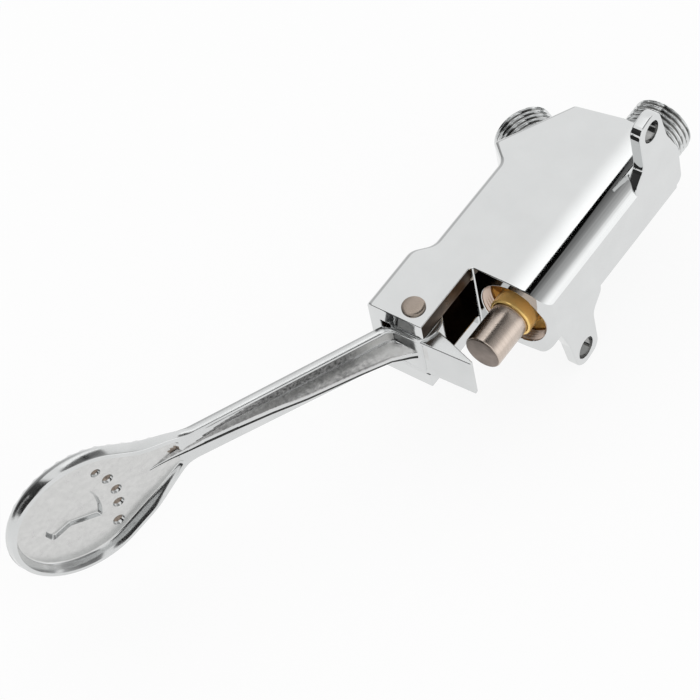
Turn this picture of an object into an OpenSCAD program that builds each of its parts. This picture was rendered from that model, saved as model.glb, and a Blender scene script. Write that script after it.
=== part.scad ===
// Foot valve for a tap, screwed to the floor. A cast body carries an inlet spigot, an outlet spigot and
// a forked nose. The pedal lever turns on a pin in the fork, and its short bar pushes the plunger in,
// which lifts the valve disc off its seat against the return spring.
// Millimetres. +X points forward to the pedal, +Z up, the floor is z = 0, and the origin lies midway
// between the two floor screws.

/* [Body casting] */
// Width of the casting across its flat sides
body_w = 30; // [28:0.5:36]
// Front face of the barrel ahead of the origin
front_reach = 40; // [38:0.5:44]
// Rear face of the barrel behind the origin
rear_reach = 33.3; // [32:0.1:38]
// Height of the plunger's axis above the floor
axis_h = 13.3; // [13.1:0.1:15]
// Height of the barrel's back above the floor
barrel_h = 43; // [40:0.2:44]
// Height at which the rear face starts to lean forward
rear_knee_h = 18.7; // [15:0.5:26]
// Rounding of the barrel's lower long edges
foot_r = 6; // [3:0.5:7]
// Rounding of the casting's upper long edges
crown_r = 2; // [1:0.5:5]

/* [Floor lugs] */
// Screw hole from the origin, along the barrel
screw_x = 23.5; // [20:0.5:26]
// Screw hole from the origin, to the side
screw_y = 28.1; // [26:0.1:36]
// Radius of the screw holes
screw_r = 3.8; // [2.5:0.1:4.5]
// Metal round a screw hole
lug_rim = 2.7; // [2:0.1:5]
// Thickness of the lugs and of the floor plate
lug_t = 4; // [3:0.5:5]
// Floor plate behind the rear face
plate_tail = 3.2; // [1:0.2:6]

/* [Fork] */
// Pivot ahead of the origin
pivot_x = 61.6; // [60:0.2:66]
// Pivot above the floor
pivot_h = 34; // [33:0.2:36]
// Thickness of a cheek
cheek_t = 6; // [4:0.5:8]
// Cheek ahead of the pivot
cheek_front = 5.7; // [5:0.1:8]
// Cheek below the pivot
cheek_drop = 6.6; // [5:0.1:8]
// Top of the fork above the pivot
fork_rise = 14.2; // [13.5:0.1:18]
// Level top of the fork behind the pivot
fork_back = 18.2; // [12:0.1:19]
// Thickness of the roof over the lever
roof_t = 4.8; // [3:0.1:5]
// Depth of the slot into the barrel, behind its front face
slot_sink = 3; // [1:0.5:6]

/* [Spigots] */
// Radius over the thread of a half-inch pipe
spigot_r = 10.48; // [8:0.01:12]
// Radius of the water way
way_r = 6.4; // [4:0.1:7]
// Inlet spigot behind the rear face
inlet_len = 15.3; // [10:0.1:25]
// Outlet spigot beyond its face
outlet_len = 11.7; // [8:0.1:25]
// Lean of the outlet to the rear, from upright
outlet_lean = 30; // [20:1:40]
// Centre of the outlet's face behind the origin
outlet_back = 18.2; // [16:0.1:20]
// Centre of the outlet's face above the floor
outlet_h = 42.4; // [40:0.1:46]
// Length of the outlet's face
outlet_face = 28; // [24:0.5:30]
// Depth of the neck between a spigot's thread and its face
neck_step = 1; // [0.5:0.1:1.5]
// Length of the outlet's neck
outlet_neck = 1.5; // [1:0.1:4]
// Chamfer on the spigots' ends
spigot_chamfer = 1.2; // [0.4:0.1:2]

/* [Gland and plunger] */
// Radius of the gland's bore in the barrel
gland_r = 11.8; // [11:0.1:12]
// Gland's flange below the front face
gland_sink = 5; // [2:0.5:7]
// Length of the gland's threaded part
gland_len = 10; // [9:0.5:12]
// Collar of the gland ahead of its flange
collar_len = 7; // [4:0.5:9]
// Wall of the collar
collar_wall = 1; // [0.6:0.1:2]
// Width of the gland's two spanner notches
notch_w = 4; // [2:0.5:6]
// Depth of the spanner notches
notch_depth = 3; // [1:0.5:5]
// Turn of the spanner notches from upright
notch_turn = -12; // [-90:1:90]
// Radius of the plunger
plunger_r = 6.3; // [5:0.1:6.8]
// Plunger ahead of the front face
plunger_reach = 17.6; // [14:0.2:19]
// Chamfer on the plunger's end
plunger_chamfer = 0.6; // [0.2:0.1:1.5]
// Thickness of the seals' cord
seal_cord = 1.9; // [1.6:0.1:2.2]

/* [Valve] */
// Radius of the chamber behind the gland
chamber_r = 9.5; // [8.8:0.1:10]
// Seat's rear face behind the origin
seat_back = 18; // [16:0.5:19]
// Length of the seat
seat_len = 5; // [4:0.5:6]
// Radius of the seat's water way
seat_way_r = 5; // [4:0.1:5.5]
// Radius of the stem
stem_r = 2.5; // [2:0.1:3]
// Radius of the rubber disc
disc_r = 6.9; // [6.2:0.1:7]
// Thickness of the rubber disc
disc_t = 2.5; // [1.5:0.1:3.5]
// Thickness of the disc holder's plate
holder_t = 2.5; // [1.5:0.1:3]
// Width of the nut across its flats
nut_flats = 8; // [7:0.5:8.5]
// Thickness of the nut
nut_t = 3; // [2:0.5:4]
// Wire radius of the return spring
wire_r = 0.55; // [0.4:0.05:0.7]
// Mean radius of the return spring
spring_r = 6; // [5.8:0.1:6.3]
// Curls of the return spring
spring_curls = 6; // [4:1:7]

/* [Pin] */
// Radius of the pivot pin
pin_r = 3; // [2:0.1:3.5]
// Radius of the pin's head
pin_head_r = 3.85; // [3.6:0.05:5]
// Height of the pin's head
pin_head_t = 1; // [0.5:0.1:2]
// Thickness of the clip on the pin's far end
clip_t = 0.8; // [0.6:0.1:1.2]

/* [Lever] */
// Radius of the lever's hub
hub_r = 8.2; // [7:0.1:8.6]
// Rise of the arm from level
arm_rise = 27.3; // [24:0.1:28]
// Underside of the arm above the line from the pivot
arm_lift = 1.9; // [1.5:0.1:2.2]
// Thickness of the arm
arm_t = 3.2; // [2.6:0.1:3.4]
// Width of the arm at the hub
arm_root_w = 15.2; // [12:0.2:17]
// Width of the arm at the neck
arm_neck_w = 13.2; // [10:0.2:15]
// Distance from the pivot to the neck
arm_len = 80; // [70:1:100]
// Depth of the two channels under the arm
channel_depth = 1.2; // [0.6:0.1:1.6]
// Width of the arm's edge beside a channel
channel_rim = 1.5; // [1:0.1:2.5]
// Width of the web between the channels
rib_w = 3; // [1:0.1:4]
// Depth of the web under the arm at its knee
web_depth = 6; // [3:0.1:7]
// Knee of the web from the pivot, along the arm
web_knee = 12.6; // [10:0.1:20]
// Foot of the web on the bar, below the pivot
web_foot = 5.4; // [3:0.1:8]
// Tip of the bar below the pivot
bar_drop = 23.7; // [21:0.1:25]
// Front of the bar ahead of the pivot
bar_front = 5.7; // [5:0.1:6.5]
// Thickness of the bar's tip
bar_tip_t = 1.3; // [1:0.1:2.5]
// Thickness of the bar where it leaves the hub
bar_root_t = 7; // [5:0.1:8]
// Width of the bar
bar_w = 15.2; // [10:0.2:17]

/* [Pedal] */
// Radius of the pedal's round end
pedal_r = 25.6; // [20:0.2:32]
// Centre of the pedal's round end from the neck
pedal_reach = 38; // [34:0.5:50]
// Pitch of the pedal down from the arm
pedal_pitch = 3; // [0:0.5:6]
// Thickness of the pedal's plate
plate_t = 2; // [1.5:0.1:3]
// Depth of the hollow under the pedal
hollow_depth = 3.4; // [2:0.1:5]
// Width of the rim round the hollow
rim_w = 4; // [1.5:0.1:4.4]
// Rounding of the tread's edge
tread_edge_r = 2.8; // [1:0.1:3.5]
// Spacing of the tread's ridges
ridge_pitch = 4.2; // [3:0.1:8]
// Radius of a ridge
ridge_r = 1.1; // [0.6:0.1:1.5]

/* [Clearances] */
// Radial clearance of a running fit
running_gap = 0.05; // [0.02:0.01:0.1]
// Clearance between pieces that are screwed or pushed together
seat_gap = 0.05; // [0.02:0.01:0.2]
// Clearance between the lever's hub and a cheek
cheek_gap = 0.3; // [0.2:0.05:1]
// Clearance between the closed disc and its seat, and between the stop ring and the gland
rest_gap = 0.3; // [0.1:0.05:0.5]

/* [Hidden] */

$fn = 96;
// Overlap that makes a cut pass through a face
cut = 1;
// Sides and rings of the spring's wire
wire_sides = 6;
curl_rings = 8;

chrome = [0.86, 0.87, 0.88];
brass = [0.80, 0.60, 0.30];
steel = [0.72, 0.69, 0.66];
rubber = [0.12, 0.12, 0.13];

// Places along the plunger's axis
gland_face_x = front_reach - gland_sink;
gland_back_x = gland_face_x - gland_len;
collar_end_x = gland_face_x + collar_len;
gasket_t = 1.5;
chamber_front_x = gland_back_x - gasket_t;
plunger_tip_x = front_reach + plunger_reach;
ring_w = 2;
ring_x = gland_back_x - rest_gap - ring_w;
plunger_back_x = ring_x - ring_w;
seat_x = -seat_back;
disc_x = seat_x - rest_gap;
holder_x = disc_x - disc_t - holder_t;
nut_x = holder_x - seat_gap - nut_t;
stem_back_x = nut_x - stem_r / 2;
stem_depth = 8;
stem_front_x = plunger_back_x + stem_depth;
spring_seat_x = -rear_reach - inlet_len / 3;
spring_gap = 0.2;
inlet_chamber_r = disc_r + 1.6;
spring_bore_r = spring_r + wire_r + 1;

// Fork
fork_front_x = pivot_x + cheek_front;
fork_top_h = pivot_h + fork_rise;
fork_low_h = pivot_h - cheek_drop;
fork_step_x = pivot_x - fork_back;
slot_w = body_w - 2 * cheek_t;
slot_back_x = front_reach - slot_sink;
roof_h = fork_top_h - roof_t;

// Outlet face, from its front corner to its rear corner
outlet_mid = [-outlet_back, outlet_h];
outlet_along = [cos(outlet_lean), sin(outlet_lean)];
outlet_up = [-sin(outlet_lean), cos(outlet_lean)];
outlet_front = outlet_mid + outlet_along * outlet_face / 2;
outlet_rear = outlet_mid - outlet_along * outlet_face / 2;
outlet_depth = (outlet_h - axis_h) / cos(outlet_lean);

// Lugs and floor plate
lug_r = screw_r + lug_rim;
plate_back_x = -rear_reach - plate_tail;
plate_w = body_w - 2 * foot_r;
// The inlet's neck ends clear of the floor plate
inlet_neck = plate_tail + 0.5;

// Lever
hub_w = slot_w - 2 * cheek_gap;
bend_front = bar_front + 0.9;
bend_h = bend_front * tan(arm_rise) + arm_lift;
pedal_tip_x = pedal_reach + pedal_r;
neck_half = arm_neck_w / 2;
hollow_r = pedal_r - rim_w;
hollow_top = 0.2;
pedal_top = hollow_top + plate_t;
pedal_low = hollow_top - hollow_depth;
neck_run = 17;
// Height of the rib that runs from the neck into the hollow
neck_rib_h = 0.8;
// Foot of the web in the lever's frame
web_heel = [bar_front * cos(arm_rise) - web_foot * sin(arm_rise),
            -bar_front * sin(arm_rise) - web_foot * cos(arm_rise)];

// Where the tangent from the point (0, half) meets a circle of radius r centred on (reach, 0)
function tangent_point(half, r, reach) =
    let (d = norm([reach, half]), turn = asin(r / d) - atan2(half, reach), run = sqrt(d * d - r * r))
    [run * cos(turn), half + run * sin(turn)];
neck_tangent = tangent_point(neck_half, pedal_r, pedal_reach);
hollow_tangent = tangent_point(neck_half - rim_w, hollow_r, pedal_reach);

// Half width of the pedal at a distance x from the neck
function pedal_half(x) =
    x < neck_tangent[0]
        ? neck_half + (neck_tangent[1] - neck_half) * x / neck_tangent[0]
        : sqrt(max(0, pedal_r * pedal_r - pow(x - pedal_reach, 2)));

// Places children on the plunger's axis at x, with their +Z along +X
module on_axis(x) {
    translate([x, 0, axis_h]) rotate([0, 90, 0]) children();
}

// A tube or rod on the plunger's axis, from x0 to x1
module axial(x0, x1, r, hole = 0) {
    on_axis(x0) difference() {
        cylinder(r = r, h = x1 - x0);
        if (hole > 0) translate([0, 0, -cut]) cylinder(r = hole, h = x1 - x0 + 2 * cut);
    }
}

// A ring of round cord on the plunger's axis
module cord_ring(x, mean_r, cord_r) {
    on_axis(x) rotate_extrude() translate([mean_r, 0]) circle(r = cord_r);
}

// Places children in the upright plane of the part, drawn as x and height, w wide across Y
module upright(w) {
    rotate([90, 0, 0]) linear_extrude(height = w, center = true) children();
}

// A bar along +X of the given width and height, its lower and upper long edges rounded
module rounded_bar(x0, x1, w, z0, z1, low_r, top_r) {
    translate([x0, 0, z0]) rotate([90, 0, 90]) linear_extrude(height = x1 - x0)
        rounded_section(w, z1 - z0, low_r, top_r);
}

// Section of that bar: y across, height up
module rounded_section(w, h, low_r, top_r) {
    difference() {
        translate([-w / 2, 0]) square([w, h]);
        for (side = [0, 1]) mirror([side, 0]) {
            if (low_r > 0) translate([w / 2 - low_r, low_r]) mirror([0, 1]) corner(low_r);
            if (top_r > 0) translate([w / 2 - top_r, h - top_r]) corner(top_r);
        }
    }
}

// What rounding takes off a square corner
module corner(r) {
    difference() {
        square(r + cut);
        circle(r = r);
    }
}

// A threaded spigot's body along +Z from z = 0, with a narrower neck behind the thread
module spigot(length, neck_len) {
    neck_r = spigot_r - neck_step;
    rotate_extrude() polygon([[0, -cut], [neck_r, -cut], [neck_r, neck_len], [spigot_r, neck_len],
                              [spigot_r, length - spigot_chamfer], [spigot_r - spigot_chamfer, length],
                              [0, length]]);
}

// Places children at the outlet's face, with +Z along the outlet
module at_outlet() {
    translate([outlet_mid[0], 0, outlet_mid[1]]) rotate([0, -outlet_lean, 0]) children();
}

module barrel() {
    intersection() {
        rounded_bar(-rear_reach, front_reach, body_w, 0, barrel_h, foot_r, crown_r);
        upright(body_w) polygon([[front_reach, 0], [-rear_reach, 0], [-rear_reach, rear_knee_h], outlet_rear,
                                 [outlet_front[0], barrel_h], [front_reach, barrel_h]]);
    }
}

module fork() {
    intersection() {
        rounded_bar(slot_back_x - crown_r, fork_front_x, body_w, fork_low_h, fork_top_h, 0, crown_r);
        upright(body_w) polygon([[slot_back_x - crown_r, fork_low_h], [fork_front_x, fork_low_h],
                                 [fork_front_x, fork_top_h], [fork_step_x, fork_top_h],
                                 [fork_step_x - fork_top_h + barrel_h, barrel_h],
                                 [slot_back_x - crown_r, barrel_h - crown_r]]);
    }
}

// The block under the outlet's face, its four long edges rounded
module outlet_block() {
    at_outlet() translate([0, 0, -outlet_face / 2]) linear_extrude(height = outlet_face / 2) intersection() {
        rotate(90) translate([0, -outlet_face / 2]) rounded_section(body_w, outlet_face, crown_r, crown_r);
        square([outlet_face, body_w], center = true);
    }
}

// The rear lug on the +Y side, with its half of the floor plate
module lug() {
    translate([-screw_x, screw_y, 0]) cylinder(r = lug_r, h = lug_t);
    linear_extrude(height = lug_t) polygon([[-screw_x + lug_r, 0], [-screw_x + lug_r, screw_y],
                                            [-screw_x - lug_r, screw_y], [plate_back_x, plate_w / 2],
                                            [plate_back_x, -plate_w / 2], [0, -plate_w / 2], [0, 0]]);
}

module valve_body() {
    color(chrome) difference() {
        union() {
            barrel();
            fork();
            outlet_block();
            lug();
            rotate(180) intersection() {
                lug();
                translate([-front_reach, -body_w, 0]) cube([2 * front_reach, 3 * body_w, lug_t]);
            }
            on_axis(-rear_reach) mirror([0, 0, 1]) spigot(inlet_len, inlet_neck);
            at_outlet() spigot(outlet_len, outlet_neck);
        }
        for (turn = [0, 180]) rotate(turn) translate([-screw_x, screw_y, -cut])
            cylinder(r = screw_r, h = lug_t + 2 * cut);
        // Slot of the fork, and the pin's hole through both cheeks
        upright(slot_w) polygon([[slot_back_x, fork_low_h], [fork_front_x + cut, fork_low_h],
                                 [fork_front_x + cut, roof_h], [fork_step_x, roof_h],
                                 [slot_back_x, roof_h - fork_step_x + slot_back_x]]);
        translate([pivot_x, 0, pivot_h]) rotate([90, 0, 0])
            cylinder(r = pin_r + seat_gap, h = body_w + 2 * cut, center = true);
        // Gland's bore, chamber, inlet chamber, spring's bore and water ways
        axial(chamber_front_x, front_reach + cut, gland_r);
        axial(seat_x, chamber_front_x + cut, chamber_r);
        axial(-rear_reach, seat_x + cut, inlet_chamber_r);
        axial(spring_seat_x, -rear_reach + cut, spring_bore_r);
        axial(-rear_reach - inlet_len - cut, spring_seat_x + cut, way_r);
        at_outlet() translate([0, 0, -outlet_depth]) cylinder(r = way_r, h = outlet_depth + outlet_len + cut);
    }
}

module gland_nut() {
    plunger_hole = plunger_r + running_gap;
    groove_r = plunger_hole + seal_cord + seat_gap;
    color(brass) difference() {
        union() {
            axial(gland_back_x, gland_face_x, gland_r - seat_gap);
            axial(gland_face_x - cut, collar_end_x, plunger_hole + collar_wall);
        }
        axial(gland_back_x - cut, collar_end_x + cut, plunger_hole);
        for (x = seal_places()) axial(x - seal_cord / 2 - seat_gap, x + seal_cord / 2 + seat_gap, groove_r);
        for (turn = [0, 180]) on_axis(gland_face_x - notch_depth) rotate(notch_turn + turn)
            translate([-gland_r - cut, -notch_w / 2, 0])
                cube([gland_r + cut - plunger_hole - collar_wall, notch_w, notch_depth + cut]);
    }
}

// Centres of the plunger's two seals along the axis
function seal_places() = [for (part = [1, 2]) gland_back_x + (gland_len - notch_depth) * part / 3];

module plunger_seals() {
    color(rubber) for (x = seal_places())
        cord_ring(x, plunger_r + running_gap + seal_cord / 2, seal_cord / 2);
}

module gland_gasket() {
    color(rubber) axial(chamber_front_x, gland_back_x, gland_r - seat_gap, chamber_r + seat_gap);
}

module plunger() {
    ring_groove = ring_w + 2 * seat_gap;
    length = plunger_tip_x - plunger_back_x;
    color(steel) difference() {
        on_axis(plunger_back_x) rotate_extrude() polygon([
            [0, 0], [plunger_r, 0], [plunger_r, length - plunger_chamfer],
            [plunger_r - plunger_chamfer, length], [0, length]]);
        axial(plunger_back_x - cut, stem_front_x + seat_gap, stem_r + seat_gap);
        on_axis(ring_x - seat_gap) difference() {
            cylinder(r = plunger_r + cut, h = ring_groove);
            translate([0, 0, -cut]) cylinder(r = ring_inner_r - seat_gap, h = ring_groove + 2 * cut);
        }
    }
}

// Stop ring in the plunger's groove, which keeps the plunger from leaving the gland
ring_inner_r = plunger_r - 1.2;
ring_outer_r = plunger_r + 1.4;

module stop_ring() {
    color(steel) difference() {
        axial(ring_x, ring_x + ring_w, ring_outer_r, ring_inner_r);
        translate([ring_x - cut, -ring_w / 2, axis_h - ring_outer_r - cut])
            cube([ring_w + 2 * cut, ring_w, ring_outer_r + cut]);
    }
}

module valve_stem() {
    color(brass) axial(stem_back_x, stem_front_x, stem_r);
}

// Cup that carries the rubber disc
module disc_holder() {
    cup_r = disc_r + 0.6;
    color(brass) difference() {
        axial(holder_x, disc_x - disc_t / 2, cup_r);
        axial(holder_x - cut, disc_x, stem_r + seat_gap);
        axial(holder_x + holder_t, disc_x, disc_r + seat_gap);
    }
}

module disc_washer() {
    color(rubber) axial(disc_x - disc_t + seat_gap, disc_x, disc_r, stem_r + seat_gap);
}

module disc_nut() {
    color(brass) difference() {
        on_axis(nut_x) cylinder(r = nut_flats / sqrt(3), h = nut_t, $fn = 6);
        axial(nut_x - cut, nut_x + nut_t + cut, stem_r + seat_gap);
    }
}

// Seat screwed into the chamber, with a raised lip towards the disc
module valve_seat() {
    lip_t = 0.8;
    lip_w = 1;
    seat_r = chamber_r - seat_gap;
    color(brass) difference() {
        axial(seat_x, seat_x + seat_len, seat_r, seat_way_r);
        on_axis(seat_x - cut) difference() {
            cylinder(r = seat_r - (chamber_r - inlet_chamber_r), h = lip_t + cut);
            translate([0, 0, -cut]) cylinder(r = seat_way_r + lip_w, h = lip_t + 3 * cut);
        }
        on_axis(seat_seal_x - seal_groove_w / 2) difference() {
            cylinder(r = chamber_r + cut, h = seal_groove_w);
            translate([0, 0, -cut]) cylinder(r = seal_groove_r, h = seal_groove_w + 2 * cut);
        }
    }
}
seat_seal_x = seat_x + seat_len * 0.6;
seal_groove_w = seal_cord + 2 * seat_gap;
seal_groove_r = chamber_r - seal_cord - 3 * seat_gap;

module seat_seal() {
    color(rubber) cord_ring(seat_seal_x, chamber_r - seat_gap - seal_cord / 2, seal_cord / 2);
}

// Centre line and wire of the return spring, as rings of points along the axis
spring_front_x = holder_x - spring_gap - wire_r;
spring_back_x = spring_seat_x + spring_gap + wire_r;
spring_rings = spring_curls * curl_rings;
spring_lead = (spring_front_x - spring_back_x) / spring_curls;
function spring_centre(i) =
    let (turn = 360 * i / curl_rings)
    [spring_back_x + spring_lead * i / curl_rings, spring_r * cos(turn), axis_h + spring_r * sin(turn)];
function spring_ring(i) =
    let (turn = 360 * i / curl_rings, c = spring_centre(i))
    [for (k = [0:wire_sides - 1]) let (a = 360 * k / wire_sides)
        c + wire_r * [sin(a), cos(a) * cos(turn), cos(a) * sin(turn)]];
// Least gap between one curl and the next, measured on the centre line's points
spring_gaps = [for (i = [0:spring_rings], j = [i + curl_rings / 2:spring_rings])
    if (j <= spring_rings) norm(spring_centre(i) - spring_centre(j)) - 2 * wire_r];
echo(least_spring_gap = min(spring_gaps));

module return_spring() {
    points = [for (i = [0:spring_rings], p = spring_ring(i)) p];
    sides = [for (i = [0:spring_rings - 1], k = [0:wire_sides - 1])
        let (a = i * wire_sides + k, b = i * wire_sides + (k + 1) % wire_sides)
        each [[a, b, a + wire_sides], [b, b + wire_sides, a + wire_sides]]];
    first = [for (k = [1:wire_sides - 2]) [0, k + 1, k]];
    base = spring_rings * wire_sides;
    last = [for (k = [1:wire_sides - 2]) [base, base + k, base + k + 1]];
    color(steel) polyhedron(points = points, faces = concat(sides, first, last));
}

// Pin with a low domed head on the +Y side and a clip groove on the other
pin_end_y = -body_w / 2 - clip_t - 1.2;
clip_y = -body_w / 2 - seat_gap - clip_t;
clip_groove_r = pin_r - 0.6;

module pivot_pin() {
    groove_low = clip_y - seat_gap - pin_end_y;
    groove_high = groove_low + clip_t + 2 * seat_gap;
    head_low = body_w / 2 + seat_gap - pin_end_y;
    head_high = head_low + pin_head_t;
    head_edge = pin_head_t / 2;
    color(steel) translate([pivot_x, pin_end_y, pivot_h]) rotate([-90, 0, 0]) rotate_extrude() polygon([
        [0, 0], [pin_r, 0], [pin_r, groove_low], [clip_groove_r, groove_low], [clip_groove_r, groove_high],
        [pin_r, groove_high], [pin_r, head_low], [pin_head_r, head_low], [pin_head_r, head_high - head_edge],
        [pin_head_r - head_edge, head_high], [0, head_high]]);
}

module pin_clip() {
    clip_r = pin_r + 1.4;
    mouth_w = clip_groove_r * 1.6;
    color(steel) translate([pivot_x, clip_y, pivot_h]) rotate([-90, 0, 0]) difference() {
        cylinder(r = clip_r, h = clip_t);
        translate([0, 0, -cut]) cylinder(r = clip_groove_r + seat_gap, h = clip_t + 2 * cut);
        translate([-mouth_w / 2, 0, -cut]) cube([mouth_w, clip_r + cut, clip_t + 2 * cut]);
    }
}

// Places children in the lever's frame: +X along the arm, origin at the pivot
module on_lever() {
    translate([pivot_x, 0, pivot_h]) rotate([0, -arm_rise, 0]) children();
}

// Places children in the pedal's frame: origin at the neck, on the arm's underside
module on_pedal() {
    on_lever() translate([arm_len, 0, arm_lift]) rotate([0, pedal_pitch, 0]) children();
}

// Hub with its front trimmed flat, and the tapering bar that meets the plunger
module lever_hub() {
    translate([pivot_x, 0, pivot_h]) {
        difference() {
            rotate([90, 0, 0]) cylinder(r = hub_r, h = hub_w, center = true);
            translate([bend_front, -hub_w, -2 * hub_r]) cube([hub_r, 2 * hub_w, 4 * hub_r]);
        }
        upright(bar_w) polygon([
            [bend_front, bend_h], [bend_front, 0], [bar_front, -hub_r], [bar_front, -bar_drop],
            [bar_front - bar_tip_t, -bar_drop], [bar_front - bar_root_t, -hub_r], [0, 0],
            [bend_front / 2, bend_h]]);
    }
}

module lever_arm() {
    on_lever() translate([0, 0, arm_lift]) linear_extrude(height = arm_t) polygon([
        [0, arm_root_w / 2], [hub_r, arm_root_w / 2], [arm_len, neck_half],
        [arm_len, -neck_half], [hub_r, -arm_root_w / 2], [0, -arm_root_w / 2]]);
}

// One of the two pointed channels under the arm, on the +Y side
module arm_channel() {
    start = hub_r + 5;
    end = arm_len - 7;
    on_lever() translate([0, 0, arm_lift - cut]) linear_extrude(height = channel_depth + cut) polygon([
        [start, rib_w / 2], [start, arm_root_w / 2 - channel_rim],
        [end * 0.7, neck_half - channel_rim], [end, rib_w / 2]]);
}

// Upright web that fills the corner between bar and arm and runs out towards the neck
module lever_web() {
    on_lever() upright(rib_w) polygon([
        web_heel, [web_knee, arm_lift - web_depth], [arm_len, arm_lift], [arm_len, arm_lift + arm_t / 2],
        [0, arm_lift + arm_t / 2], [0, 0]]);
}

// Round plate with a rolled edge, joined to the neck by a web that thins towards it
module pedal_plate() {
    steps = 5;
    edge_arc = [for (i = [0:steps]) let (a = 90 - 90 * i / steps)
        [pedal_r - tread_edge_r + tread_edge_r * cos(a), pedal_top - tread_edge_r + tread_edge_r * sin(a)]];
    on_pedal() {
        translate([pedal_reach, 0, 0]) rotate_extrude()
            polygon(concat([[0, pedal_low], [0, pedal_top]], edge_arc, [[pedal_r, pedal_low]]));
        intersection() {
            translate([0, 0, pedal_low - cut]) linear_extrude(height = hollow_depth + arm_t + 2 * cut)
                polygon([[-cut, neck_half], [0, neck_half], neck_tangent, [pedal_reach, 0],
                         [neck_tangent[0], -neck_tangent[1]], [0, -neck_half], [-cut, -neck_half]]);
            upright(2 * pedal_r) polygon([
                [-cut, 0], [0, 0], [neck_run, pedal_low], [pedal_reach, pedal_low],
                [pedal_reach, pedal_top], [neck_run, pedal_top], [0, arm_t], [-cut, arm_t]]);
        }
        for (i = [1:floor((pedal_tip_x - tread_edge_r) / ridge_pitch)]) ridge(i * ridge_pitch);
    }
}

// A half-round ridge across the tread
module ridge(x) {
    half = pedal_half(x) - tread_edge_r / 2;
    rise = x < neck_run ? (arm_t - pedal_top) * (1 - x / neck_run) : 0;
    if (half > ridge_r) translate([x, 0, pedal_top + rise - ridge_r / 3]) rotate([90, 0, 0])
        cylinder(r = ridge_r, h = 2 * half, center = true, $fn = 24);
}

// Hollow under the pedal, and the rib that runs into it from the neck
module pedal_hollow() {
    mouth = rim_w;
    on_pedal() difference() {
        translate([0, 0, pedal_low - cut]) union() {
            translate([pedal_reach, 0, 0]) cylinder(r = hollow_r, h = hollow_depth + cut);
            linear_extrude(height = hollow_depth + cut) polygon([
                [mouth, neck_half - rim_w], hollow_tangent, [pedal_reach, 0],
                [hollow_tangent[0], -hollow_tangent[1]], [mouth, rim_w - neck_half]]);
        }
        upright(rib_w) polygon([[0, hollow_top + cut], [0, -neck_rib_h], [neck_run, hollow_top],
                                [neck_run, hollow_top + cut]]);
    }
}

module pedal_lever() {
    color(chrome) difference() {
        union() {
            lever_hub();
            lever_arm();
            lever_web();
            pedal_plate();
        }
        translate([pivot_x, 0, pivot_h]) rotate([90, 0, 0])
            cylinder(r = pin_r + running_gap, h = body_w, center = true);
        for (side = [0, 1]) mirror([0, side, 0]) arm_channel();
        pedal_hollow();
    }
}

valve_body();
gland_nut();
gland_gasket();
plunger_seals();
plunger();
stop_ring();
valve_stem();
disc_holder();
disc_washer();
disc_nut();
return_spring();
valve_seat();
seat_seal();
pivot_pin();
pin_clip();
pedal_lever();
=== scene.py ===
# %% [markdown]
# # A foot valve for a tap
# The part is a chrome casting that is screwed to the floor. A long lever with a round pedal turns in its
# fork, and a short bar under the hub pushes a steel plunger. The solids are loaded as a fixed frame, and
# every piece below is modelled around them, in metres, at the place that the solids give.

import bpy
import bmesh
from math import asin, atan2, ceil, cos, degrees, hypot, pi, radians, sin, sqrt, tan
from mathutils import Matrix, Vector


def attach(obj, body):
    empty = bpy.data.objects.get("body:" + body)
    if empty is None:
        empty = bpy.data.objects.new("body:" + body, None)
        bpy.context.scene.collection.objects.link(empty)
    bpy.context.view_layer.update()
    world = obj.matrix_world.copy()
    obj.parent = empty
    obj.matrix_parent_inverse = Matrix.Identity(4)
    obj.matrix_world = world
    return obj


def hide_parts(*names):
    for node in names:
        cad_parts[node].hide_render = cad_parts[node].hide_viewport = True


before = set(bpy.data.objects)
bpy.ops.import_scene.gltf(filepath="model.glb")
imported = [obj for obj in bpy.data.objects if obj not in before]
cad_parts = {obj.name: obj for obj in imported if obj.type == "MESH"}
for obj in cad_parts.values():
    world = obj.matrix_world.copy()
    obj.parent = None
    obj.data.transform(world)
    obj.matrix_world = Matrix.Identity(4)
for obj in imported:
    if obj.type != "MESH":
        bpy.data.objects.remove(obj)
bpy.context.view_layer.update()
MM = 0.001

# %% [markdown]
# ## Sizes
# These repeat the sizes of the solids, in millimetres, so that each piece fits the frame. X runs forward to
# the pedal, Z is up, and the floor is z = 0.

# %% Sizes shared by the pieces
HALF_W = 15.0
FRONT_X, REAR_X = 40.0, -33.3
AXIS_Z = 13.3
PIVOT_X, PIVOT_Z = 61.6, 34.0
FORK_FRONT_X, FORK_LOW_Z, ROOF_Z, SLOT_HALF, SLOT_BACK_X = 67.3, 27.4, 43.4, 9.0, 37.0
OUTLET_MID, OUTLET_LEAN = (-18.2, 42.4), radians(30)
SPIGOT_R, WAY_R = 10.48, 6.4
LUG_X, LUG_Y, HOLE_R, LUG_T = 23.5, 28.1, 3.8, 4.0
BORE_R, PIN_R = 11.8, 3.0
PLUNGER_R, PLUNGER_TIP_X = 6.3, 57.6
ARM_RISE = radians(27.3)
print("pivot", PIVOT_X, PIVOT_Z, "axis height", AXIS_Z)

# %% [markdown]
# ## Helpers
# An operator works on whatever is selected, and loading the frame leaves its nodes selected. So each piece
# starts with a clean selection. A sheet is a grid whose points are laid over a form, as paper is wrapped
# round a parcel. A turned piece is a line of points spun about an axis, as on a lathe.

# %% Helpers for selection, cutting and finishing
def start_clean():
    if bpy.context.object and bpy.context.object.mode != "OBJECT":
        bpy.ops.object.mode_set(mode="OBJECT")
    bpy.ops.object.select_all(action="DESELECT")


def pick(piece):
    start_clean()
    piece.select_set(True)
    bpy.context.view_layer.objects.active = piece


def edit_all(piece):
    pick(piece)
    bpy.ops.object.mode_set(mode="EDIT")
    bpy.ops.mesh.select_all(action="SELECT")


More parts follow.
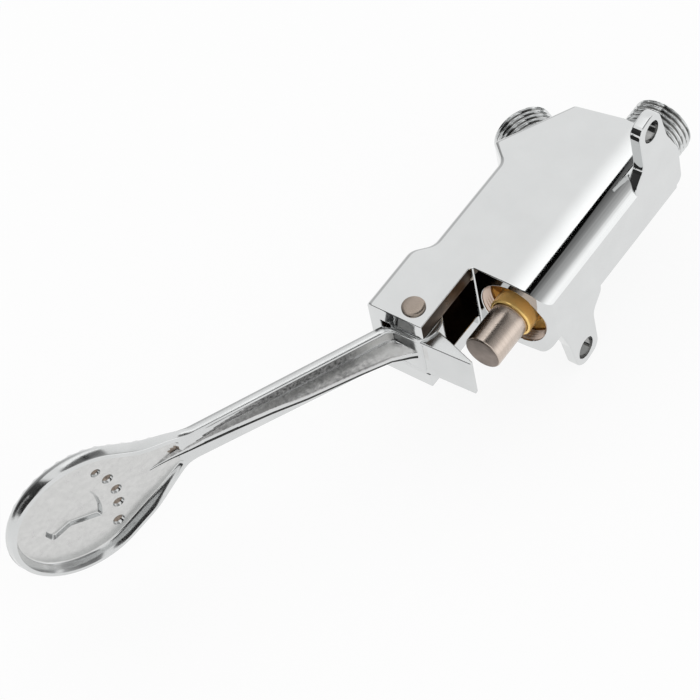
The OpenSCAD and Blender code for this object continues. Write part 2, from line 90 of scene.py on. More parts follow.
def close_and_turn_out(piece):
    edit_all(piece)
    bpy.ops.mesh.remove_doubles(threshold=0.002 * MM)
    bpy.ops.mesh.fill_holes(sides=0)
    bpy.ops.mesh.select_all(action="SELECT")
    bpy.ops.mesh.normals_make_consistent(inside=False)
    bpy.ops.object.mode_set(mode="OBJECT")


def apply_modifier(piece, kind, **settings):
    pick(piece)
    bpy.ops.object.modifier_add(type=kind)
    modifier = piece.modifiers[-1]
    for key, value in settings.items():
        setattr(modifier, key, value)
    bpy.ops.object.modifier_apply(modifier=modifier.name)


def combine(piece, tool, operation, solver="EXACT"):
    apply_modifier(piece, "BOOLEAN", operation=operation, solver=solver, object=tool)
    bpy.data.objects.remove(tool, do_unlink=True)


def soften(piece, width, steps, limit):
    apply_modifier(piece, "BEVEL", width=width * MM, segments=steps, limit_method="ANGLE",
                   angle_limit=radians(limit), use_clamp_overlap=False)


def soften_ridges(piece, width, steps, limit, crowded):
    """Softens the outer edges only, and none where crowded(x, y, z) finds too little room, in millimetres."""
    shape = bmesh.new()
    shape.from_mesh(piece.data)
    shape.edges.ensure_lookup_table()
    weights = piece.data.attributes.new("bevel_weight_edge", "FLOAT", "EDGE")
    for edge in shape.edges:
        middle = (edge.verts[0].co + edge.verts[1].co) / (2 * MM)
        ridge = (len(edge.link_faces) == 2 and edge.is_convex
                 and edge.calc_face_angle() > radians(limit) and not crowded(*middle))
        weights.data[edge.index].value = 1.0 if ridge else 0.0
    shape.free()
    apply_modifier(piece, "BEVEL", width=width * MM, segments=steps, limit_method="WEIGHT",
                   use_clamp_overlap=False)


def smooth(piece, angle):
    pick(piece)
    bpy.ops.object.shade_smooth_by_angle(angle=radians(angle))
    apply_modifier(piece, "WEIGHTED_NORMAL", keep_sharp=True, weight=60)


# %% [markdown]
# A block, a turned piece and a wrapped sheet are the three starts of all pieces below. Each begins as a
# primitive whose points are then moved, extruded or spun to their place.

# %% Helpers for blocks, turned pieces and wrapped sheets
def named(name):
    piece = bpy.context.object
    piece.name = name
    piece.data.name = name
    return piece


def block(name, low, high):
    start_clean()
    bpy.ops.mesh.primitive_cube_add(size=1)
    piece = named(name)
    for v in piece.data.vertices:
        v.co = Vector([(low[i] if v.co[i] < 0 else high[i]) * MM for i in range(3)])
    return piece


def turned(name, profile, steps=96):
    """Spins points of (distance along Z, radius) about Z."""
    start_clean()
    bpy.ops.mesh.primitive_plane_add(size=MM)
    piece = named(name)
    bpy.ops.object.mode_set(mode="EDIT")
    bpy.ops.mesh.select_all(action="SELECT")
    bpy.ops.mesh.merge(type="CENTER")
    here = Vector((0, 0, 0))
    for i, (along, radius) in enumerate(profile):
        there = Vector((radius * MM, 0, along * MM))
        if i == 0:
            bpy.ops.transform.translate(value=there - here)
        else:
            bpy.ops.mesh.extrude_region_move(TRANSFORM_OT_translate={"value": there - here})
        here = there
    bpy.ops.mesh.select_all(action="SELECT")
    bpy.ops.mesh.spin(steps=steps, angle=2 * pi, center=(0, 0, 0), axis=(0, 0, 1))
    bpy.ops.object.mode_set(mode="OBJECT")
    close_and_turn_out(piece)
    return piece


def wrapped_sheet(name, rows, cols, place, closed=True):
    """A grid laid over a form: place(row, col) gives each point in millimetres."""
    start_clean()
    bpy.ops.mesh.primitive_grid_add(x_subdivisions=rows, y_subdivisions=cols, size=1)
    piece = named(name)
    for v in piece.data.vertices:
        v.co = Vector(place(round((v.co.x + 0.5) * rows), round((v.co.y + 0.5) * cols))) * MM
    if closed:
        close_and_turn_out(piece)
    return piece


def move_mesh(piece, matrix):
    piece.data.transform(matrix)
    if matrix.determinant() < 0:
        piece.data.flip_normals()


def along_axis(x):
    """From a lathe's Z to the plunger's axis, starting at x."""
    return Matrix.Translation((x * MM, 0, AXIS_Z * MM)) @ Matrix.Rotation(pi / 2, 4, "Y")


def rounded_path(points, radii, steps=5):
    """A line of points whose corners are replaced by arcs of the given radii. The ends stay."""
    out = [points[0]]
    for a, b, c, r in zip(points, points[1:], points[2:], radii):
        to_a, to_c = Vector(a) - Vector(b), Vector(c) - Vector(b)
        half = to_a.angle(to_c) / 2
        if r <= 0 or half > pi / 2 - 0.01:
            out.append(b)
            continue
        reach = min(r / tan(half), 0.49 * to_a.length, 0.49 * to_c.length)
        r = reach * tan(half)
        centre = Vector(b) + (to_a.normalized() + to_c.normalized()).normalized() * r / sin(half)
        first = Vector(b) + to_a.normalized() * reach - centre
        last = Vector(b) + to_c.normalized() * reach - centre
        sweep = first.angle_signed(last)
        for i in range(steps + 1):
            turn = -sweep * i / steps
            out.append((centre.x + first.x * cos(turn) - first.y * sin(turn),
                        centre.y + first.x * sin(turn) + first.y * cos(turn)))
    out.append(points[-1])
    return out


print("helpers ready")

# %% [markdown]
# ## Camera
# The camera's place and focal length were fitted to the outlines in the photograph, so the model can be laid
# over it. It looks from the pedal's end, from below the floor, and is rolled.

# %% Camera
FOCAL_PX, PICTURE_PX, SENSOR_MM = 3676.5, 700, 36
CAMERA_PLACE = (0.5730, 0.8937, -0.4514)
camera_data = bpy.data.cameras.new("photo_camera")
camera = bpy.data.objects.new("photo_camera", camera_data)
bpy.context.scene.collection.objects.link(camera)
camera_data.sensor_width = SENSOR_MM
camera_data.lens = FOCAL_PX * SENSOR_MM / PICTURE_PX
camera_data.clip_end = 20
right = Vector((-0.5673, -0.1403, -0.8115)).normalized()
back = Vector((0.436, 0.785, -0.441))
back = (back - right * back.dot(right)).normalized()
upward = back.cross(right)
facing_way = Matrix((right, upward, back)).transposed().to_4x4()
camera.matrix_world = Matrix.Translation(CAMERA_PLACE) @ facing_way
bpy.context.scene.camera = camera
bpy.context.scene.view_settings.view_transform = "Standard"
print("lens", round(camera_data.lens, 1))

# %% [markdown]
# ## Node groups
# Real metal is never one flat colour. Three effects are shared by the finishes: fine grain, soft smudges
# from handling, and the rings that a lathe tool leaves. Each is a group with its own inputs.

# %% Node groups for grain, smudges and lathe rings
def new_group(name, inputs, outputs):
    group = bpy.data.node_groups.new(name, "ShaderNodeTree")
    for label, value in inputs:
        socket = group.interface.new_socket(label, in_out="INPUT", socket_type="NodeSocketFloat")
        socket.default_value = value
    for label, kind in outputs:
        group.interface.new_socket(label, in_out="OUTPUT", socket_type=kind)
    return group, group.nodes.new("NodeGroupInput"), group.nodes.new("NodeGroupOutput")


def add(tree, kind, **settings):
    node = tree.nodes.new(kind)
    for key, value in settings.items():
        setattr(node, key, value)
    return node


def noise_group(name, scale, detail):
    group, given, result = new_group(name, [("Scale", scale), ("Contrast", 1.0)],
                                     [("Mask", "NodeSocketFloat")])
    place = add(group, "ShaderNodeTexCoord")
    noise = add(group, "ShaderNodeTexNoise")
    noise.inputs["Detail"].default_value = detail
    middle = add(group, "ShaderNodeMath", operation="SUBTRACT")
    middle.inputs[1].default_value = 0.5
    spread = add(group, "ShaderNodeMath", operation="MULTIPLY")
    level = add(group, "ShaderNodeMath", operation="ADD", use_clamp=True)
    level.inputs[1].default_value = 0.5
    group.links.new(place.outputs["Object"], noise.inputs["Vector"])
    group.links.new(given.outputs["Scale"], noise.inputs["Scale"])
    group.links.new(noise.outputs["Fac"], middle.inputs[0])
    group.links.new(middle.outputs[0], spread.inputs[0])
    group.links.new(given.outputs["Contrast"], spread.inputs[1])
    group.links.new(spread.outputs[0], level.inputs[0])
    group.links.new(level.outputs[0], result.inputs["Mask"])
    return group


def ring_group():
    """Tool marks round the plunger's axis: lines along X on the side, circles on an end."""
    group, given, result = new_group("lathe_rings", [("Scale", 900.0)], [("Mask", "NodeSocketFloat")])
    place = add(group, "ShaderNodeTexCoord")
    split = add(group, "ShaderNodeSeparateXYZ")
    height = add(group, "ShaderNodeMath", operation="SUBTRACT")
    height.inputs[1].default_value = AXIS_Z * MM
    flat = add(group, "ShaderNodeCombineXYZ")
    radius = add(group, "ShaderNodeVectorMath", operation="LENGTH")
    both = add(group, "ShaderNodeMath", operation="ADD")
    line = add(group, "ShaderNodeCombineXYZ")
    noise = add(group, "ShaderNodeTexNoise")
    noise.inputs["Detail"].default_value = 3.0
    group.links.new(place.outputs["Object"], split.inputs[0])
    group.links.new(split.outputs["Z"], height.inputs[0])
    group.links.new(split.outputs["Y"], flat.inputs["Y"])
    group.links.new(height.outputs[0], flat.inputs["Z"])
    group.links.new(flat.outputs[0], radius.inputs[0])
    group.links.new(split.outputs["X"], both.inputs[0])
    group.links.new(radius.outputs["Value"], both.inputs[1])
    group.links.new(both.outputs[0], line.inputs["X"])
    group.links.new(line.outputs[0], noise.inputs["Vector"])
    group.links.new(given.outputs["Scale"], noise.inputs["Scale"])
    group.links.new(noise.outputs["Fac"], result.inputs["Mask"])
    return group


FINE_GRAIN = noise_group("fine_grain", 2500.0, 4.0)
SMUDGES = noise_group("smudges", 90.0, 3.0)
LATHE_RINGS = ring_group()
print("groups", FINE_GRAIN.name, SMUDGES.name, LATHE_RINGS.name)

# %% [markdown]
# ## Finishes
# Every finish mixes two close tints by a mask and varies its roughness by the same mask. Grain or lathe rings
# give it a little relief. Polished chrome keeps almost no relief, the cast channels keep a lot. Near the bend
# the cast metal is worn bright, so two of the finishes fade to a bright tint there.

# %% Steps shared by the finishes
GROUPS = {"grain": FINE_GRAIN, "smudges": SMUDGES, "rings": LATHE_RINGS}
WORN_BRIGHT = (0.70, 0.70, 0.69, 1)


def add_relief(tree, shader, relief, depth):
    """relief is (group, strength, scale), depth is the height of the relief in millimetres."""
    height = add(tree, "ShaderNodeGroup", node_tree=GROUPS[relief[0]])
    height.inputs["Scale"].default_value = relief[2]
    bump = add(tree, "ShaderNodeBump")
    bump.inputs["Strength"].default_value = relief[1]
    bump.inputs["Distance"].default_value = depth * MM
    tree.links.new(height.outputs["Mask"], bump.inputs["Height"])
    tree.links.new(bump.outputs["Normal"], shader.inputs["Normal"])


def add_fade(tree, shader, tint, start, end):
    """The metal is worn bright below x = start and has its own tints above x = end, in millimetres."""
    place = add(tree, "ShaderNodeTexCoord")
    split = add(tree, "ShaderNodeSeparateXYZ")
    onset = add(tree, "ShaderNodeMapRange", interpolation_type="SMOOTHSTEP")
    onset.inputs["From Min"].default_value = start * MM
    onset.inputs["From Max"].default_value = end * MM
    worn = add(tree, "ShaderNodeMix", data_type="RGBA")
    worn.inputs["A"].default_value = WORN_BRIGHT
    tree.links.new(place.outputs["Object"], split.inputs[0])
    tree.links.new(split.outputs["X"], onset.inputs["Value"])
    tree.links.new(onset.outputs["Result"], worn.inputs["Factor"])
    tree.links.new(tint.outputs["Result"], worn.inputs["B"])
    tree.links.new(worn.outputs["Result"], shader.inputs["Base Color"])


def finish(name, dark, light, rough, relief, metal=1.0, tone=("smudges", 90.0, 1.4), depth=0.02, fade=None):
    """dark and light are tints, rough is a pair, tone is the mask's (group, scale, contrast)."""
    material = bpy.data.materials.new(name)
    material.use_nodes = True
    tree = material.node_tree
    shader = tree.nodes["Principled BSDF"]
    shader.inputs["Metallic"].default_value = metal
    mask = add(tree, "ShaderNodeGroup", node_tree=GROUPS[tone[0]])
    mask.inputs["Scale"].default_value = tone[1]
    if "Contrast" in mask.inputs:
        mask.inputs["Contrast"].default_value = tone[2]
    tint = add(tree, "ShaderNodeMix", data_type="RGBA")
    tint.inputs["A"].default_value = (*dark, 1)
    tint.inputs["B"].default_value = (*light, 1)
    gloss = add(tree, "ShaderNodeMapRange")
    gloss.inputs["To Min"].default_value = rough[1]
    gloss.inputs["To Max"].default_value = rough[0]
    tree.links.new(mask.outputs["Mask"], tint.inputs["Factor"])
    tree.links.new(mask.outputs["Mask"], gloss.inputs["Value"])
    tree.links.new(tint.outputs["Result"], shader.inputs["Base Color"])
    tree.links.new(gloss.outputs["Result"], shader.inputs["Roughness"])
    add_relief(tree, shader, relief, depth)
    if fade:
        add_fade(tree, shader, tint, *fade)
    return material


print("steps ready for", len(GROUPS), "groups")

# %% [markdown]
# Chrome comes in several states on this valve: polished on the body, satin on the lever, fogged in the pedal,
# and as cast, under a thin plating, in the arm's trough. A darker chrome stands for corners that little light
# reaches.

# %% Chrome finishes
WORN_FROM, WORN_TO = 71, 84
POLISHED = finish("polished_chrome", (0.66, 0.67, 0.67), (0.71, 0.72, 0.72), (0.03, 0.07),
                  relief=("smudges", 0.05, 60.0))
SATIN = finish("satin_chrome", (0.62, 0.63, 0.63), (0.70, 0.71, 0.71), (0.12, 0.22),
               relief=("grain", 0.15, 1800.0))
CAST = finish("cast_nickel", (0.10, 0.10, 0.10), (0.46, 0.46, 0.46), (0.26, 0.42), depth=0.12,
              relief=("grain", 0.8, 1400.0), tone=("grain", 1100.0, 2.8), fade=(WORN_FROM, WORN_TO))
WEB_CAST = finish("cast_web", (0.32, 0.32, 0.32), (0.66, 0.66, 0.65), (0.3, 0.45), depth=0.1,
                  relief=("grain", 0.6, 1400.0), tone=("grain", 900.0, 2.2), fade=(WORN_FROM, WORN_TO))
FOGGED = finish("fogged_chrome", (0.58, 0.58, 0.575), (0.70, 0.70, 0.69), (0.2, 0.3),
                relief=("grain", 0.25, 1500.0), tone=("grain", 500.0, 1.3))
TARNISH = finish("tarnished_pit", (0.15, 0.12, 0.10), (0.32, 0.27, 0.23), (0.2, 0.36),
                 relief=("grain", 0.4, 1500.0), tone=("grain", 900.0, 2.0))
SHADED = finish("shaded_chrome", (0.24, 0.24, 0.24), (0.42, 0.42, 0.41), (0.08, 0.2),
                relief=("grain", 0.1, 1200.0))
# A near-black finish paints the dark reflection along the web's far edge.
DARK_EDGE_REFLECTION = finish("painted_dark_reflection", (0.008, 0.008, 0.008), (0.04, 0.04, 0.04), (0.4, 0.6),
              relief=("grain", 0.3, 1200.0), tone=("grain", 900.0, 1.8))
print("chrome finishes", len(bpy.data.materials))

# %% [markdown]
# The machined insides are bare metal with tool rings, the gland is brass, and the plunger and pin are a warm
# steel. The seals are rubber, which is not a metal and keeps a rough surface.

# %% Bare metals, a dark finish with painted shade, and rubber
# The dark finish is rough metal inside the fork, made darker as painted shade. It also paints the shade under
# the near cheek.
DARK_METAL_AND_SHADE = finish("dark_inside_and_painted_shade", (0.05, 0.035, 0.025), (0.16, 0.11, 0.07), (0.25, 0.45), depth=0.05,
              relief=("grain", 0.4, 900.0), tone=("smudges", 160.0, 2.0))
BORE = finish("bare_bore", (0.50, 0.38, 0.31), (0.74, 0.62, 0.54), (0.24, 0.36), relief=("rings", 0.3, 900.0))
GOLD = finish("turned_brass", (0.90, 0.54, 0.13), (1.0, 0.76, 0.32), (0.16, 0.26), metal=0.7,
              relief=("rings", 0.35, 1600.0), tone=("rings", 700.0))
STEEL = finish("turned_steel", (0.50, 0.425, 0.37), (0.68, 0.59, 0.52), (0.2, 0.32),
               relief=("rings", 0.35, 1800.0), tone=("rings", 1200.0))
GROUND = finish("ground_tip", (0.18, 0.15, 0.13), (0.30, 0.25, 0.22), (0.28, 0.42),
                relief=("rings", 0.4, 1500.0), tone=("smudges", 220.0, 1.8))
PIN = finish("pin_steel", (0.32, 0.27, 0.225), (0.46, 0.39, 0.34), (0.2, 0.32),
             relief=("grain", 0.25, 1500.0))
RUBBER = finish("black_rubber", (0.012, 0.012, 0.013), (0.03, 0.03, 0.03), (0.5, 0.7), metal=0.0,
                relief=("grain", 0.3, 1200.0), tone=("grain", 600.0, 1.6))
print("finishes", len(bpy.data.materials))

# %% [markdown]
# ## Body casting
# The barrel and the fork share one outline from the side and one section across: a flat side that bends
# gently, then quickly, into a sharp crease at the floor, and rounded upper edges. So the form is a sheet
# wrapped round stations along X, each with its own height. What is machined away is cut out afterwards.

# %% Side outline and section of the casting
mouth = Vector((cos(OUTLET_LEAN), sin(OUTLET_LEAN))) * 14
mouth_rear = (OUTLET_MID[0] - mouth.x, OUTLET_MID[1] - mouth.y)
mouth_front = (OUTLET_MID[0] + mouth.x, OUTLET_MID[1] + mouth.y)
back_line = rounded_path([(REAR_X, 18.7), mouth_rear, mouth_front, (-0.4, 43.0), (38.2, 43.0), (43.4, 48.2),
                          (FORK_FRONT_X - 0.6, 48.2), (FORK_FRONT_X, 47.6)],
                         [0.8, 0.8, 5.0, 6.0, 4.5, 0.6], steps=6)
CROWN_R, CROWN_STEPS = 2.0, 7


def foot_line():
    """Points (y, z) from the crease at the floor up to the flat side."""
    points = [(HALF_W, 15.0)]
    gentle, turn = 6, 9.0
    for i in range(gentle):
        tilt = radians(turn * (i + 0.5) / gentle)
        y, z = points[-1]
        points.append((y - 1.4 * sin(tilt), z - 1.4 * cos(tilt)))
    y, z = points[-1]
    first, last, steps = radians(turn), radians(70), 10
    r = z / (sin(last) - sin(first))
    for i in range(1, steps + 1):
        a = first + (last - first) * i / steps
        points.append((y - r * (cos(first) - cos(a)), max(0.0, z - r * (sin(a) - sin(first)))))
    return points[::-1]


FOOT = foot_line()
SIDE_ROWS = 4
print("outline", len(back_line), "crease at y", round(FOOT[0][0], 2))


# %% [markdown]
# The two lines are now crossed: each station along X takes the same foot and side, and only the height of its
# top changes. One half of the section is worked out and the other half mirrors it.

# %% Casting blank
def half_section(top):
    points = [(0, 0)] + FOOT
    low, high = FOOT[-1][1], top - CROWN_R
    points += [(HALF_W, low + (high - low) * i / SIDE_ROWS) for i in range(1, SIDE_ROWS)]
    for i in range(CROWN_STEPS + 1):
        a = pi / 2 * i / CROWN_STEPS
        points.append((HALF_W - CROWN_R + CROWN_R * cos(a), high + CROWN_R * sin(a)))
    return points + [(0, top)]


section_size = len(half_section(40)) - 1


def casting_point(row, col):
    x, top = back_line[row]
    section = half_section(top)
    if col <= section_size:
        y, z = section[col]
    else:
        y, z = section[2 * section_size - col]
        y = -y
    return x, y, z


casting = wrapped_sheet("body_casting", len(back_line) - 1, 2 * section_size, casting_point)
print("casting faces", len(casting.data.polygons))

# %% [markdown]
# ## Floor lugs
# Two lugs sit diagonally and flare where they leave the barrel. Each is an outline with rounded corners,
# thickened and softened at its edges, then joined to the barrel. The second is turned by half a turn.

# %% Lugs
def plate(name, outline, low, high):
    start_clean()
    bpy.ops.mesh.primitive_circle_add(vertices=len(outline), radius=MM, fill_type="NGON")
    piece = named(name)
    for v, (x, y) in zip(piece.data.vertices, outline):
        v.co = Vector((x, y, low)) * MM
    edit_all(piece)
    bpy.ops.mesh.extrude_region_move(TRANSFORM_OT_translate={"value": (0, 0, (high - low) * MM)})
    bpy.ops.mesh.select_all(action="SELECT")
    bpy.ops.mesh.normals_make_consistent(inside=False)
    bpy.ops.object.mode_set(mode="OBJECT")
    return piece


LUG_CORNERS = [(-11.0, 5.0), (-12.0, 11.5), (-17.2, 16.5), (-16.8, 33.4), (-28.2, 35.3), (-31.2, 19.0)]
LUG_ROUNDS = [3.0, 5.0, 4.2, 5.6, 9.0, 6.0, 3.0]


def lug(name, tail):
    """A lug whose root runs on under the barrel as far as x = -tail."""
    root = [(-tail, 7.0), (-tail, -8.0), (-30.0, -8.4)]
    line = rounded_path(LUG_CORNERS + root, LUG_ROUNDS, 8)
    piece = plate(name, [(-30.0, 5.0)] + line, 0.0, LUG_T)
    soften(piece, 0.6, 3, 50)
    return piece


rear_lug = lug("rear_lug", 36.5)
front_lug = lug("front_lug", 35.4)
move_mesh(front_lug, Matrix.Rotation(pi, 4, "Z"))
combine(casting, rear_lug, "UNION")
combine(casting, front_lug, "UNION")
print("with lugs", len(casting.data.polygons))

# %% [markdown]
# ## Machined spaces
# Below the fork the casting is open, and a slot takes the lever. An outline that is thickened across the
# casting cuts each of them, and a third one rounds the toe. Over the bore a brow of metal is added again.

# %% Cut the fork and round the toe
PAST_X, CORNER_R, TOE_R, SLOT_SLANT, BROW_R = 90, 1.6, 4.0, 6.4, 15


def cut_across(name, outline, half):
    """Cuts an outline of (x, z) out of the casting, from -half to half across."""
    cutter = plate(name, outline, -half, half)
    move_mesh(cutter, Matrix.Rotation(pi / 2, 4, "X"))
    combine(casting, cutter, "DIFFERENCE")


under_line = rounded_path([(PAST_X, FORK_LOW_Z), (FRONT_X, FORK_LOW_Z), (FRONT_X, -5)], [CORNER_R])
cut_across("under_fork", under_line + [(PAST_X, -5)], 30)
quarter = [radians(a) for a in range(0, 91, 10)]
toe_line = [(FRONT_X - TOE_R * (1 - cos(t)), TOE_R * (1 - sin(t))) for t in quarter]
toe_line = [(FRONT_X + 1, -1), (FRONT_X + 1, TOE_R)] + toe_line + [(FRONT_X - TOE_R, -1)]
cut_across("toe_edge", toe_line, 20)
slot_line = [(SLOT_BACK_X, FORK_LOW_Z - 0.5), (PAST_X, FORK_LOW_Z - 0.5), (PAST_X, ROOF_Z),
             (SLOT_BACK_X + SLOT_SLANT, ROOF_Z), (SLOT_BACK_X, ROOF_Z - SLOT_SLANT)]
cut_across("slot", slot_line, SLOT_HALF)
brow_line = [(BROW_R * cos(radians(a)), AXIS_Z + BROW_R * sin(radians(a))) for a in range(40, 141, 4)]
brow = plate("brow", brow_line, SLOT_BACK_X - 1, FRONT_X - 0.01)
move_mesh(brow, Matrix(((0, 0, 1, 0), (1, 0, 0, 0), (0, 1, 0, 0), (0, 0, 0, 1))))
combine(casting, brow, "UNION")
print("fork cut", len(casting.data.polygons))

# %% [markdown]
# The gland's bore steps down to the valve's chamber, and a slanted bore leads to the outlet. Bores and holes
# are turned shapes, cut out one by one. At last the outer edges are softened, except at the toe, where the
# bore's edge leaves no room for it.

# %% Cut the bores and holes
OUTLET_DEPTH = 33.6


def rod(name, radius, length):
    return turned(name, [(0, 0), (0, radius), (length, radius), (length, 0)], 64)


def near_toe(x, y, z):
    return x > 33 and z < 6.0


bore = turned("bore", [(-35, 0), (-35, 7.55), (REAR_X, 7.55), (REAR_X, 8.5), (-18, 8.5), (-18, 9.5),
                       (23.5, 9.5), (23.5, BORE_R), (45, BORE_R), (45, 0)])
move_mesh(bore, along_axis(0))
combine(casting, bore, "DIFFERENCE")
outlet_frame = (Matrix.Translation((OUTLET_MID[0] * MM, 0, OUTLET_MID[1] * MM))
                @ Matrix.Rotation(-OUTLET_LEAN, 4, "Y"))
outlet_bore = rod("outlet_bore", WAY_R, 40)
move_mesh(outlet_bore, outlet_frame @ Matrix.Translation((0, 0, -OUTLET_DEPTH * MM)))
combine(casting, outlet_bore, "DIFFERENCE")
pin_hole = rod("pin_hole", PIN_R + 0.05, 60)
pin_end = Matrix.Translation((PIVOT_X * MM, 30 * MM, PIVOT_Z * MM))
move_mesh(pin_hole, pin_end @ Matrix.Rotation(pi / 2, 4, "X"))
combine(casting, pin_hole, "DIFFERENCE")
for side in (1, -1):
    hole = rod("screw_hole", HOLE_R, 20)
    move_mesh(hole, Matrix.Translation((-side * LUG_X * MM, side * LUG_Y * MM, -10 * MM)))
    combine(casting, hole, "DIFFERENCE")
edit_all(casting)
bpy.ops.mesh.dissolve_limited(angle_limit=radians(0.3))
bpy.ops.mesh.remove_doubles(threshold=0.01 * MM)
bpy.ops.object.mode_set(mode="OBJECT")
soften_ridges(casting, 0.4, 3, 40, near_toe)
smooth(casting, 17)
print("casting", len(casting.data.polygons), "faces")

# %% [markdown]
# The plating does not reach the machined bore, which stays bare. The inside of the fork is dark rough metal
# with painted shade, the underside of the near cheek gets the same painted shade, and the walls of the screw
# holes get the darker chrome as painted shade. Faces are picked by their place and given a finish of their
# own.

# %% Finishes of the casting
for material in (POLISHED, BORE, DARK_METAL_AND_SHADE, SHADED):
    casting.data.materials.append(material)
for face in casting.data.polygons:
    x, y, z = face.center / MM
    off_axis = hypot(y, z - AXIS_Z)
    faces_axis = face.normal.y * y + face.normal.z * (z - AXIS_Z) < -0.5 * off_axis
    in_bore = -32 < x < FRONT_X - 0.2 and off_axis < BORE_R + 0.1 and (faces_axis or (x < 30 and z > 1))
    in_slot = (SLOT_BACK_X - 0.1 < x < FORK_FRONT_X - 0.5 and abs(y) < SLOT_HALF + 0.05
               and FORK_LOW_Z + 0.3 < z < ROOF_Z + 0.05)
    under_cheek = (x > FRONT_X and y > SLOT_HALF and abs(z - FORK_LOW_Z) < 0.3
                   and face.normal.z < -0.9)
    lug_side = 1 if y > 0 else -1
    off_hole = hypot(x + lug_side * LUG_X, y - lug_side * LUG_Y)
    face.material_index = 1 if in_bore else 0
    # Painted shade: the inside of the fork and the underside of the near cheek are darkened.
    if in_slot or under_cheek:
        face.material_index = 2
    # Painted shade: the darker chrome darkens the walls of the screw holes.
    if off_hole < HOLE_R + 0.1 and abs(face.normal.z) < 0.3:
        face.material_index = 3
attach(casting, "casting")
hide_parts("valve_body")
print("casting rides on the casting body")

# %% [markdown]
# ## Threaded spigots
# Both spigots carry a half-inch pipe thread. The spigot is spun from its outline with many rings, and the
# rings are then drawn in and out along a spiral, which gives a true thread with soft starts.

# %% Spigots
PITCH, THREAD_DEPTH, CHAMFER, NECK_STEP = 1.814, 1.15, 1.2, 1.0


def spigot(name, length, neck, bore_line):
    thread_end = length - CHAMFER
    rings = ceil((thread_end - neck) / 0.15)
    outline = [(-0.8, SPIGOT_R - NECK_STEP), (neck - 0.4, SPIGOT_R - NECK_STEP)]
    outline += [(neck + (thread_end - neck) * i / rings, SPIGOT_R) for i in range(rings + 1)]
    outline += [(length - 0.2, SPIGOT_R - CHAMFER), (length, SPIGOT_R - CHAMFER - 0.3), (length, WAY_R + 0.5)]
    outline += [(length - 0.5, WAY_R)] + bore_line
    piece = turned(name, outline + outline[:1], 96)
    for v in piece.data.vertices:
        x, y, z = v.co / MM
        if neck - 0.1 < z < thread_end + 0.1 and hypot(x, y) > SPIGOT_R - 0.1:
            wave = abs((z / PITCH - atan2(y, x) / (2 * pi)) % 1 - 0.5) * 2
            cut_in = min(1, max(0, (wave - 0.14) / 0.74))
            run_in = min(1, max(0, (z - neck) / 0.9))
            run_out = min(1, (thread_end - z) / 0.5 + 0.45)
            fade = run_in if z < length / 2 else run_out
            r = 1 - THREAD_DEPTH * cut_in * fade / SPIGOT_R
            v.co.x *= r
            v.co.y *= r
    smooth(piece, 50)
    for material in (POLISHED, SHADED):
        piece.data.materials.append(material)
    # The thread's grooves get the darker chrome, which paints the shade in them.
    for face in piece.data.polygons:
        x, y, z = face.center / MM
        in_groove = neck < z < thread_end and WAY_R + 1 < hypot(x, y) < SPIGOT_R - 0.6
        face.material_index = 1 if in_groove else 0
    return piece


inlet = spigot("inlet_spigot", 15.3, 3.7, [(5.1, WAY_R), (5.1, 7.55), (-0.8, 7.55)])
move_mesh(inlet, Matrix.Translation((REAR_X * MM, 0, AXIS_Z * MM)) @ Matrix.Rotation(-pi / 2, 4, "Y"))
outlet = spigot("outlet_spigot", 11.7, 1.5, [(-0.8, WAY_R)])
move_mesh(outlet, outlet_frame)
for piece in (inlet, outlet):
    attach(piece, "casting")
print("spigots", len(inlet.data.polygons), len(outlet.data.polygons))

# %% [markdown]
# ## Gland, plunger and pin
# These are lathe work. The gland is a brass ring with a collar round the plunger. Two notches for a spanner
# are cut out of its face with blocks.

# %% Gland nut
gland = turned("gland_ring", [(25.0, 6.4), (25.0, 11.7), (34.5, 11.7), (35.0, 11.2), (35.0, 8.0), (35.1, 7.6),
                              (35.5, 7.38), (41.5, 7.35), (41.85, 7.2), (42.0, 6.9), (42.0, 6.6), (41.8, 6.4),
                              (25.0, 6.4)])
move_mesh(gland, along_axis(0))
for turn in (78, 258):
    notch = block("notch", (32.0, 7.7, -2.0), (36.0, 13.0, 2.0))
    move_mesh(notch, Matrix.Translation((0, 0, AXIS_Z * MM)) @ Matrix.Rotation(radians(turn), 4, "X"))
    combine(gland, notch, "DIFFERENCE")
smooth(gland, 30)
gland.data.materials.append(GOLD)
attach(gland, "casting")
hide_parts("gland_nut")
print("gland", len(gland.data.polygons))

# %% [markdown]
# A few turns of the gland's thread show in the mouth of the bore. Plain rings are enough for them, because
# their spiral can't be seen at this size.

# %% Thread in the bore's mouth
THREAD_CREST, THREAD_ROOT = 11.2, 11.72
crests = [(35.4 + 0.5 * i, THREAD_ROOT if i % 2 == 0 else THREAD_CREST) for i in range(9)]
mouth_thread = turned("bore_thread", [(35.2, 11.78)] + crests + [(39.5, 11.78), (35.2, 11.78)])
move_mesh(mouth_thread, along_axis(0))
smooth(mouth_thread, 30)
mouth_thread.data.materials.append(BORE)
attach(mouth_thread, "casting")
print("bore thread", len(mouth_thread.data.polygons))

# %% [markdown]
# The plunger is turned from steel, with a ground tip that the bar pushes and a groove for its stop ring. The
# pin has a low domed head on one side and a groove for its clip on the other.

